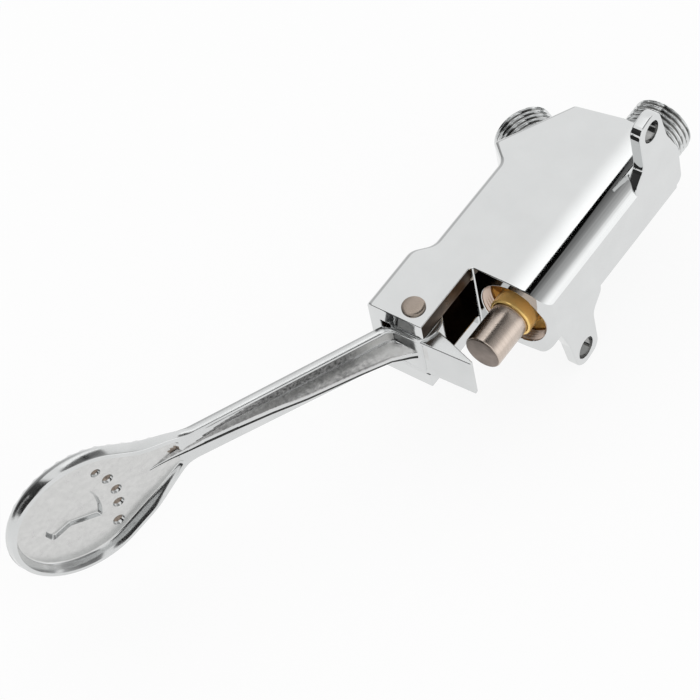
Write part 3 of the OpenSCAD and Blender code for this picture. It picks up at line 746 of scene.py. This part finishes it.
# %% Plunger and pin
ring_low, ring_high = 22.65, 24.75
plunger = turned("plunger_rod", [(20.7, 2.55), (20.7, PLUNGER_R), (ring_low, PLUNGER_R), (ring_low, 5.05),
                                 (ring_high, 5.05), (ring_high, PLUNGER_R), (56.9, PLUNGER_R), (57.2, 6.2),
                                 (57.45, 6.0), (57.55, 5.8), (PLUNGER_TIP_X, 5.5), (PLUNGER_TIP_X, 3.0),
                                 (PLUNGER_TIP_X, 0.0), (28.75, 0.0), (28.75, 2.55), (20.7, 2.55)])
move_mesh(plunger, along_axis(0))
smooth(plunger, 30)
for material in (STEEL, GROUND):
    plunger.data.materials.append(material)
for face in plunger.data.polygons:
    face.material_index = 1 if face.center.x / MM > PLUNGER_TIP_X - 0.1 else 0
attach(plunger, "slider")
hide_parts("plunger")
head = [(15.05, 3.85), (15.45, 3.85), (15.75, 3.7), (15.92, 3.4), (16.0, 2.9), (16.04, 1.5), (16.05, 0)]
shank = [(-17.0, 0), (-17.0, 2.6), (-16.6, PIN_R), (-15.9, PIN_R), (-15.9, 2.4), (-15.0, 2.4),
         (-15.0, PIN_R), (15.05, PIN_R)]
pin = turned("pivot_pin_piece", shank + head)
move_mesh(pin, Matrix.Translation((PIVOT_X * MM, 0, PIVOT_Z * MM)) @ Matrix.Rotation(-pi / 2, 4, "X"))
smooth(pin, 30)
pin.data.materials.append(PIN)
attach(pin, "casting")
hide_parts("pivot_pin")
print("plunger", len(plunger.data.polygons), "pin", len(pin.data.polygons))

# %% [markdown]
# ## Lever
# The lever is one casting with a T section. Its lower skin runs in a single line: up the front of the bar,
# round a tight bend, along the arm and out over the hollow pedal. A grid is laid along that line and
# thickened into two layers.

# %% The lever's line
PEDAL_R, PEDAL_A, NECK_A = 25.6, 118.0, 80.0
ARM_LIFT, PEDAL_PITCH = 1.9, radians(3)
BEND_A, BEND_R = 8.502, 4.0
BAR_TIP = Vector((67.3, 10.3))


def on_arm(a, h):
    return Vector((PIVOT_X + a * cos(ARM_RISE) - h * sin(ARM_RISE),
                   PIVOT_Z + a * sin(ARM_RISE) + h * cos(ARM_RISE)))


def arm_line(a):
    """Point and heading of the underside at a distance from the pivot."""
    if a <= NECK_A:
        return on_arm(a, ARM_LIFT), ARM_RISE
    pitched = ARM_RISE - PEDAL_PITCH
    return on_arm(NECK_A, ARM_LIFT) + (a - NECK_A) * Vector((cos(pitched), sin(pitched))), pitched


bend = on_arm(BEND_A, ARM_LIFT)
bar_way = (bend - BAR_TIP).normalized()
bar_heading = atan2(bar_way.y, bar_way.x)
bend_reach = BEND_R * tan((bar_heading - ARM_RISE) / 2)
bar_run = (bend - BAR_TIP).length - bend_reach
print("bar", round(bar_run, 1), "heading", round(degrees(bar_heading), 1))

# %% [markdown]
# The rows of the grid follow the outline: straight up the bar, round the bend, along the arm, out through a
# fillet and a tangent, and round the pedal. Near the edge the columns run parallel to the outline, so the rim
# and the rolled edges stay crisp.

# %% Rows of the grid along the outline
BAR_ROWS, BEND_ROWS, ARM_ROWS, FILLET_ROWS, TANGENT_ROWS, PEDAL_ROWS = 34, 12, 80, 10, 44, 120
ROOT_HALF, NECK_HALF, FILLET_R = 7.6, 6.6, 10.0
side_run = hypot(PEDAL_A - NECK_A, NECK_HALF)
flare = asin(PEDAL_R / side_run) - atan2(NECK_HALF, PEDAL_A - NECK_A)
fillet_reach = FILLET_R * tan(flare / 2)


def lever_rows():
    """Each row: kind, place on the line (or None), the outline's point (a, y) and the way inward."""
    rows = []
    for i in range(BAR_ROWS):
        run = bar_run * i / BAR_ROWS
        rows.append(("bar", (BAR_TIP + bar_way * run, bar_heading), (run, ROOT_HALF), (0, -1)))
    hollow = BAR_TIP + bar_way * bar_run + BEND_R * Vector((sin(bar_heading), -cos(bar_heading)))
    for i in range(BEND_ROWS):
        heading = bar_heading + (ARM_RISE - bar_heading) * i / BEND_ROWS
        point = hollow + BEND_R * Vector((-sin(heading), cos(heading)))
        rows.append(("bend", (point, heading), (bar_run + i, ROOT_HALF), (0, -1)))
    first, last = BEND_A + bend_reach, NECK_A - fillet_reach
    for i in range(ARM_ROWS):
        share = i / ARM_ROWS
        half = ROOT_HALF + (NECK_HALF - ROOT_HALF) * share
        rows.append(("arm", None, (first + (last - first) * share, half), (0, -1)))
    for i in range(FILLET_ROWS):
        t = flare * i / FILLET_ROWS
        edge = (last + FILLET_R * sin(t), NECK_HALF + FILLET_R * (1 - cos(t)))
        rows.append(("arm", None, edge, (sin(t), -cos(t))))
    inward = (sin(flare), -cos(flare))
    start = (NECK_A + fillet_reach * cos(flare), NECK_HALF + fillet_reach * sin(flare))
    end = (PEDAL_A - PEDAL_R * inward[0], -PEDAL_R * inward[1])
    for i in range(TANGENT_ROWS):
        edge = tuple(s + (e - s) * i / TANGENT_ROWS for s, e in zip(start, end))
        rows.append(("arm", None, edge, inward))
    for i in range(PEDAL_ROWS + 1):
        t = (pi / 2 + flare) * (1 - i / PEDAL_ROWS)
        rows.append(("arm", None, (PEDAL_A + PEDAL_R * cos(t), PEDAL_R * sin(t)), (-cos(t), -sin(t))))
    return rows


stations = lever_rows()
GAPS = (0.0, 0.1, 0.25, 0.45, 0.7, 1.1, 1.6, 2.0, 2.25, 2.45, 2.65, 2.85, 3.05, 3.25, 3.6, 4.4)
INNER = (0.8, 0.6, 0.42, 0.26, 0.12, 0.0)
COLUMNS = [("gap", g) for g in GAPS] + [("inner", f) for f in INNER]
print("rows", len(stations), "columns", 2 * len(COLUMNS) - 1)

# %% [markdown]
# The underside of the arm is a shallow trough inside its edges, left as it came from the mould. The pedal's
# underside is hollow inside a drafted rim, and ridges run across its tread.

# %% Lower and upper skin of the lever
RIM_DROP, FLOOR, ARM_T, TREAD_TOP = 3.2, 0.2, 3.2, 2.05
RIDGE, RIDGE_H, LAST_RIDGE = 4.2, 0.4, PEDAL_A + PEDAL_R - 2.8
TROUGH = 0.65


def step_up(low, high, value):
    t = min(1.0, max(0.0, (value - low) / (high - low)))
    return t * t * (3 - 2 * t)


def roll(gap, r):
    """Drop of a rolled edge of radius r at a distance from the outline."""
    return r - sqrt(max(0.0, r * r - (r - min(gap, r)) ** 2))


def lower_skin(kind, at, gap):
    if kind == "bar":
        return TROUGH * step_up(17.4, 18.3, at) * step_up(0.7, 1.7, gap) + roll(gap, 0.45)
    if kind == "bend" or at <= NECK_A:
        along = 1.0 if kind == "bend" else 1 - step_up(66, 78, at)
        return TROUGH * along * step_up(0.7, 1.7, gap) + roll(gap, 0.45)
    fade = step_up(NECK_A, 98, at)
    inside = step_up(1.55, 3.0, gap) * step_up(82.0, 83.6, at)
    floor = FLOOR + 0.9 * (1 - step_up(84, 95, at))
    return -RIM_DROP * fade * (1 - inside) + floor * inside + roll(gap, 0.6)


def upper_skin(kind, at, gap):
    if kind == "bar":
        thick = 1.3 + (6.8 - 1.3) * min(1.0, at / 15.7)
        return thick - (6.8 - ARM_T) * step_up(16.0, 20.0, at) - roll(gap, 0.6)
    if kind == "bend" or at <= NECK_A:
        return ARM_T - roll(gap, 0.9)
    onward = step_up(NECK_A, 97, at)
    wave = ((at - NECK_A) / RIDGE) % 1 - 0.5
    ridge = RIDGE_H * max(0.0, cos(pi * min(0.5, abs(wave) * 1.9))) if at < LAST_RIDGE else 0.0
    on_tread = step_up(0.4, 1.5, gap) * step_up(81, 83.5, at)
    return ARM_T + (TREAD_TOP - ARM_T) * onward + ridge * on_tread - roll(gap, 0.9 + 1.9 * onward)


def lever_point(row, col, upper):
    kind, fixed, edge, inward = stations[row]
    side = -1 if col < len(COLUMNS) - 1 else 1
    what, amount = COLUMNS[min(col, 2 * len(COLUMNS) - 2 - col)]
    inset = 0.0 if upper or fixed else 0.2 + 0.55 * step_up(NECK_A, 98, edge[0])
    gap = amount if what == "gap" else GAPS[-1]
    at = edge[0] + inward[0] * (gap + inset)
    y = edge[1] + inward[1] * (gap + inset)
    if what == "inner":
        y *= amount
        gap = 9.0
    point, heading = fixed or arm_line(at)
    lift = (upper_skin if upper else lower_skin)(kind, edge[0] if fixed else at, gap)
    return point.x - sin(heading) * lift, side * y, point.y + cos(heading) * lift


# %% [markdown]
# The grid is extruded into two layers, and its points are then laid on the lower and the upper skin. At the
# pedal's tip all columns of a row meet, so the faces of the end wall are removed there and the points merged.

# %% Lever casting
row_count, col_count = len(stations) - 1, 2 * len(COLUMNS) - 2
start_clean()
bpy.ops.mesh.primitive_grid_add(x_subdivisions=row_count, y_subdivisions=col_count, size=1)
lever = named("lever_casting")
edit_all(lever)
bpy.ops.mesh.extrude_region_move(TRANSFORM_OT_translate={"value": (0, 0, 1)})
bpy.ops.mesh.select_all(action="DESELECT")
bpy.ops.object.mode_set(mode="OBJECT")
for face in lever.data.polygons:
    face.select = face.center.x > 0.4999
bpy.ops.object.mode_set(mode="EDIT")
bpy.ops.mesh.delete(type="ONLY_FACE")
bpy.ops.object.mode_set(mode="OBJECT")
for v in lever.data.vertices:
    row, col = round((v.co.x + 0.5) * row_count), round((v.co.y + 0.5) * col_count)
    v.co = Vector(lever_point(row, col, v.co.z > 0.5)) * MM
edit_all(lever)
bpy.ops.mesh.remove_doubles(threshold=0.002 * MM)
bpy.ops.mesh.normals_make_consistent(inside=False)
bpy.ops.object.mode_set(mode="OBJECT")
print("lever blank", len(lever.data.polygons))

# %% [markdown]
# ## Foot sign
# A plain foot is pressed into the pedal's floor: a sole with sloped sides and five round toes. Each is made
# as a solid shape and cut out of the lever.

# %% Sole and toes
pedal_frame = (Matrix.Translation(Vector((*on_arm(NECK_A, ARM_LIFT), 0)).xzy * MM)
               @ Matrix.Rotation(PEDAL_PITCH - ARM_RISE, 4, "Y"))
sole_corners = [(118.0, 3.6), (112.8, 6.0), (111.3, 1.4), (110.9, -3.5), (111.6, -8.4), (122.6, -5.2),
                (129.4, -7.8), (131.6, -3.6), (129.6, 1.6), (123.6, 0.8), (118.0, 3.6)]
sole_rounds = [0.8, 4, 4, 0.8, 1.5, 1.5, 1.5, 1.2, 2]
sole_line = rounded_path([(a - NECK_A, y) for a, y in sole_corners], sole_rounds, 5)
sole = plate("foot_sole", sole_line[:-1], FLOOR - 0.6, FLOOR + 1.4)
middle = Vector((120.5 - NECK_A, -2.0, 0)) * MM
for v in sole.data.vertices:
    if v.co.z > 0:
        v.co.xy = middle.xy + (v.co.xy - middle.xy) * 0.87
soften(sole, 0.3, 3, 60)
move_mesh(sole, pedal_frame)
combine(lever, sole, "DIFFERENCE", "MANIFOLD")
TOES = ((110.1, 12.1, 1.65), (107.1, 6.6, 1.9), (105.5, 0.0, 1.9), (106.0, -6.4, 1.95),
        (107.7, -14.5, 2.05))
for a, y, r in TOES:
    dimple = [(-0.5, 0), (-0.5, r + 0.2), (0, r), (0.9, 0.8 * r), (1.25, 0.55 * r), (1.35, 0)]
    toe = turned("toe", dimple, 40)
    move_mesh(toe, pedal_frame @ Matrix.Translation(Vector((a - NECK_A, y, FLOOR)) * MM))
    combine(lever, toe, "DIFFERENCE", "MANIFOLD")
print("lever with its sign", len(lever.data.polygons))

# %% [markdown]
# The lever is satin where a hand or a wheel could polish it. The trough stays as cast, the pedal's hollow is
# fogged, and a little tarnish sits in the toes and in a pit at the neck.

# %% Finishes of the lever
pick(lever)
bpy.ops.object.shade_smooth_by_angle(angle=radians(38))
lever.data.materials.clear()
for material in (SATIN, CAST, FOGGED, TARNISH):
    lever.data.materials.append(material)
into_pedal = pedal_frame.inverted()
for face in lever.data.polygons:
    flat = Vector((face.center.x / MM - PIVOT_X, face.center.z / MM - PIVOT_Z))
    at = flat.x * cos(ARM_RISE) + flat.y * sin(ARM_RISE)
    height = -flat.x * sin(ARM_RISE) + flat.y * cos(ARM_RISE)
    down = face.normal.z * cos(ARM_RISE) - face.normal.x * sin(ARM_RISE)
    place = into_pedal @ face.center / MM
    trough_half = 5.9 - 0.14 * max(0.0, at - 50)
    in_trough = down < -0.3 and 9 < at < 77 and height < 3.4 and 0 < place.y < trough_half
    in_bend = face.normal.x > 0.3 and 26 < face.center.z / MM < 45 and at < 13 and 0 < place.y < 5.9
    in_pedal = down < -0.85 and place.x > 3.0 and -0.2 < place.z < 2.0
    in_toe = any(hypot(place.x + NECK_A - a, place.y - y) < 0.84 * r and place.z < 1.8 for a, y, r in TOES)
    in_pit = hypot((place.x - 4.3) / 1.9, (place.y - 2.3) / 1.2) < 1 and 0.4 < place.z < 1.8
    face.material_index = 1 if in_trough else 0
    if in_bend or in_pedal:
        face.material_index = 2
    if down < -0.3 and (in_toe or in_pit):
        face.material_index = 3
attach(lever, "lever")
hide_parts("pedal_lever")
print("lever", len(lever.data.polygons))

# %% [markdown]
# ## Web and hub
# An upright web stiffens the arm. It fills the corner between bar and arm, grows lower towards the neck, and
# runs out in the pedal's floor. Its sides slope, and a painted dark reflection runs along its far edge.

# %% Web under the arm
crest_line = [(11.8, -3.5), (17.0, -3.0), (22.8, -2.5), (32.2, -2.0), (40.4, -1.5), (46.0, -0.8),
              (51.7, -0.1), (63.3, 0.8), (74.8, 1.45), (80.4, 1.5), (86.2, 1.7), (90.5, 1.6), (94.6, 1.35)]
corner_line = [((67.5, 29.9), (67.1, 29.0)), ((69.2, 31.9), (67.2, 32.6)), ((71.4, 34.0), (67.5, 36.4))]
web_rows = [(Vector(crest), Vector(root), 1.0) for crest, root in corner_line]
for a, h in crest_line:
    root_lift = 2.75 if a < 84 else 2.75 - 0.1 * (a - 84)
    slim = 1 - 0.75 * step_up(70, 94, a)
    web_rows.append((on_arm(a, h), on_arm(a - 0.22 * max(0.0, 26 - a), root_lift), slim))
web_section = [(0, 0), (2.45, 0), (2.1, 0.16), (1.5, 0.9), (1.35, 0.97), (1.15, 1.0), (0.1, 1.0),
               (-0.1, 0.985), (-1.3, 0.93), (-1.5, 0.8), (-2.2, 0), (0, 0)]


def web_point(row, col):
    crest, root, slim = web_rows[row]
    y, t = web_section[col]
    place = root + (crest - root) * t
    return place.x, y * slim, place.y


web = wrapped_sheet("lever_web", len(web_rows) - 1, len(web_section) - 1, web_point)
smooth(web, 35)
for material in (SATIN, DARK_EDGE_REFLECTION, WEB_CAST):
    web.data.materials.append(material)
for face in web.data.polygons:
    y = face.center.y / MM
    if face.normal.y > 0.5 and y < 2.0:
        face.material_index = 2
    # Painted dark reflection on the crest's far edge.
    elif -1.35 < y < 0 and face.normal.z < 0:
        face.material_index = 1
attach(web, "lever")
print("web", len(web.data.polygons))

# %% [markdown]
# The hub is a short barrel round the pin. It is turned with softened ends and then cut flat in front, where
# the bar runs into it.

# %% Hub round the pin
HUB_HALF, HUB_R, HUB_BORE_R, HUB_FRONT_X = 8.7, 8.2, 3.05, 67.9
hub_half = [(HUB_HALF, HUB_BORE_R), (HUB_HALF, HUB_R - 0.6), (HUB_HALF - 0.2, HUB_R - 0.2),
            (HUB_HALF - 0.6, HUB_R)]
hub = turned("lever_hub", [(-y, r) for y, r in hub_half] + hub_half[::-1] + [(-HUB_HALF, HUB_BORE_R)])
move_mesh(hub, Matrix.Translation((PIVOT_X * MM, 0, PIVOT_Z * MM)) @ Matrix.Rotation(-pi / 2, 4, "X"))
edit_all(hub)
bpy.ops.mesh.bisect(plane_co=(HUB_FRONT_X * MM, 0, 0), plane_no=(1, 0, 0), use_fill=True, clear_outer=True)
bpy.ops.object.mode_set(mode="OBJECT")
smooth(hub, 30)
hub.data.materials.append(SATIN)
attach(hub, "lever")
print("hub", len(hub.data.polygons))

# %% [markdown]
# ## Pieces kept from the solids
# The seals, the valve's inner pieces, the spring and the clip have the right shape already, so they only get
# a finish. Each keeps its own mesh.

# %% Finishes of the kept pieces
kept = {"gland_gasket": RUBBER, "plunger_seals": RUBBER, "disc_washer": RUBBER, "seat_seal": RUBBER,
        "stop_ring": STEEL, "return_spring": STEEL, "pin_clip": PIN, "valve_stem": GOLD, "disc_holder": GOLD,
        "disc_nut": GOLD, "valve_seat": GOLD}
for node, material in kept.items():
    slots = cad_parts[node].data.materials
    slots.clear()
    slots.append(material)
print("kept pieces", len(kept))

# %% [markdown]
# ## Stage and light
# The valve is shown lying on its far side on a white table, in a white room that lights it evenly. The table
# is seen from its front only. The camera and the chrome see it almost white, and other light falls on it as
# on any plain surface, so it keeps the soft shadow.

# %% Table and white room
TABLE_Y, TABLE_WHITE = -0.0365, 0.85


def seen_directly(tree):
    """Is 1 for rays from the camera and for reflections, and 0 for other rays."""
    path = add(tree, "ShaderNodeLightPath")
    seen = add(tree, "ShaderNodeMath", operation="MAXIMUM")
    tree.links.new(path.outputs["Is Camera Ray"], seen.inputs[0])
    tree.links.new(path.outputs["Is Glossy Ray"], seen.inputs[1])
    return seen


start_clean()
bpy.ops.mesh.primitive_plane_add(size=4)
table = named("table")
table.data.transform(Matrix.Translation((0, TABLE_Y, 0)) @ Matrix.Rotation(-pi / 2, 4, "X"))
table_finish = bpy.data.materials.new("white_table")
table_finish.use_nodes = True
tree = table_finish.node_tree
plain = tree.nodes["Principled BSDF"]
plain.inputs["Base Color"].default_value = (0.9, 0.9, 0.9, 1)
plain.inputs["Roughness"].default_value = 0.9
glow = add(tree, "ShaderNodeEmission")
lit = add(tree, "ShaderNodeMixShader")
clear = add(tree, "ShaderNodeBsdfTransparent")
one_sided = add(tree, "ShaderNodeMixShader")
facing = add(tree, "ShaderNodeNewGeometry")
share = add(tree, "ShaderNodeMath", operation="MULTIPLY")
share.inputs[1].default_value = TABLE_WHITE
tree.links.new(seen_directly(tree).outputs[0], share.inputs[0])
tree.links.new(share.outputs[0], lit.inputs[0])
tree.links.new(plain.outputs[0], lit.inputs[1])
tree.links.new(glow.outputs[0], lit.inputs[2])
tree.links.new(facing.outputs["Backfacing"], one_sided.inputs[0])
tree.links.new(lit.outputs[0], one_sided.inputs[1])
tree.links.new(clear.outputs[0], one_sided.inputs[2])
tree.links.new(one_sided.outputs[0], tree.nodes["Material Output"].inputs["Surface"])
table.data.materials.append(table_finish)

world = bpy.data.worlds.new("white_room")
bpy.context.scene.world = world
world.use_nodes = True
sky = world.node_tree.nodes["Background"]
sky.inputs["Color"].default_value = (1, 1, 1, 1)
sky.inputs["Strength"].default_value = 1.0
print("table at y", TABLE_Y)


# %% [markdown]
# Chrome shows nothing but what stands around it, so sheets stand out of the camera's sight and are seen in
# reflections only. A black one with a tapered end gives the dark stripe along the rounded foot, and a grey
# one and the ground carry on from it to white. Dark sheets in front and above draw the pedal's wall and rim.

# %% A card seen in reflections
def card(name, corners, low_tone, high_tone):
    """A sheet seen in reflections only, whose tone runs from its first two corners to its last two."""
    start_clean()
    bpy.ops.mesh.primitive_plane_add(size=1)
    piece = named(name)
    order = {(-1, -1): 0, (1, -1): 1, (1, 1): 2, (-1, 1): 3}
    for v in piece.data.vertices:
        v.co = Vector(corners[order[(1 if v.co.x > 0 else -1, 1 if v.co.y > 0 else -1)]])
    material = bpy.data.materials.new(name)
    material.use_nodes = True
    nodes = material.node_tree
    nodes.nodes.remove(nodes.nodes["Principled BSDF"])
    place = add(nodes, "ShaderNodeTexCoord")
    split = add(nodes, "ShaderNodeSeparateXYZ")
    ramp = add(nodes, "ShaderNodeMapRange", interpolation_type="SMOOTHSTEP")
    ramp.inputs["To Min"].default_value = low_tone
    ramp.inputs["To Max"].default_value = high_tone
    shine = add(nodes, "ShaderNodeEmission")
    nodes.links.new(place.outputs["UV"], split.inputs[0])
    nodes.links.new(split.outputs["Y"], ramp.inputs["Value"])
    nodes.links.new(ramp.outputs["Result"], shine.inputs["Color"])
    nodes.links.new(shine.outputs[0], nodes.nodes["Material Output"].inputs["Surface"])
    piece.data.materials.append(material)
    for flag in ("visible_camera", "visible_diffuse", "visible_shadow", "visible_transmission"):
        setattr(piece, flag, False)
    return piece


def upright(y, left, right, first_z, last_z):
    """The corners of a sheet that faces along Y."""
    return [(left, y, first_z), (right, y, first_z), (right, y, last_z), (left, y, last_z)]


print("cards can be made")

# %% Cards round the valve
SIDE_Y, SKY_Z, GROUND_Z, FAR_X, NEAR_X = 0.75, 0.9, -0.85, 1.1, -1.2
TAPER = [(-0.47, SIDE_Y, 0.15), (-0.25, SIDE_Y, 0.15), (-0.25, SIDE_Y, -0.33), (-0.47, SIDE_Y, 0.14)]
SKY = [(-0.9, -0.35, SKY_Z), (-0.9, 1.25, SKY_Z), (FAR_X, 1.25, SKY_Z), (FAR_X, -0.35, SKY_Z)]
FRONT = [(FAR_X, 0.15, -0.7), (FAR_X, SIDE_Y, -0.7), (FAR_X, SIDE_Y, 0.85), (FAR_X, 0.15, 0.85)]
GROUND_SHEET = [(NEAR_X, 0.77, GROUND_Z), (0.1, 0.77, GROUND_Z), (0.1, -0.034, GROUND_Z),
                (NEAR_X, -0.034, GROUND_Z)]
cards = [card("grey_card", upright(SIDE_Y + 0.01, NEAR_X, 0.2, 0.15, -0.87), 0.12, 0.5),
         card("black_taper", TAPER, 0.0, 0.02),
         card("bright_card", upright(SIDE_Y, NEAR_X, 0.1, 0.15, 0.4), 1.5, 1.0),
         card("dark_side", upright(SIDE_Y, 0.45, FAR_X, 0.0, 0.75), 0.02, 0.05),
         card("sky_card", SKY, 0.7, 0.0),
         card("front_card", FRONT, 0.03, 0.03),
         card("ground_card", GROUND_SHEET, 0.5, 1.35),
         card("table_card", upright(-0.033, -0.4, 0.0, -0.07, -0.86), 1.3, 1.35)]
print("cards", len(cards))
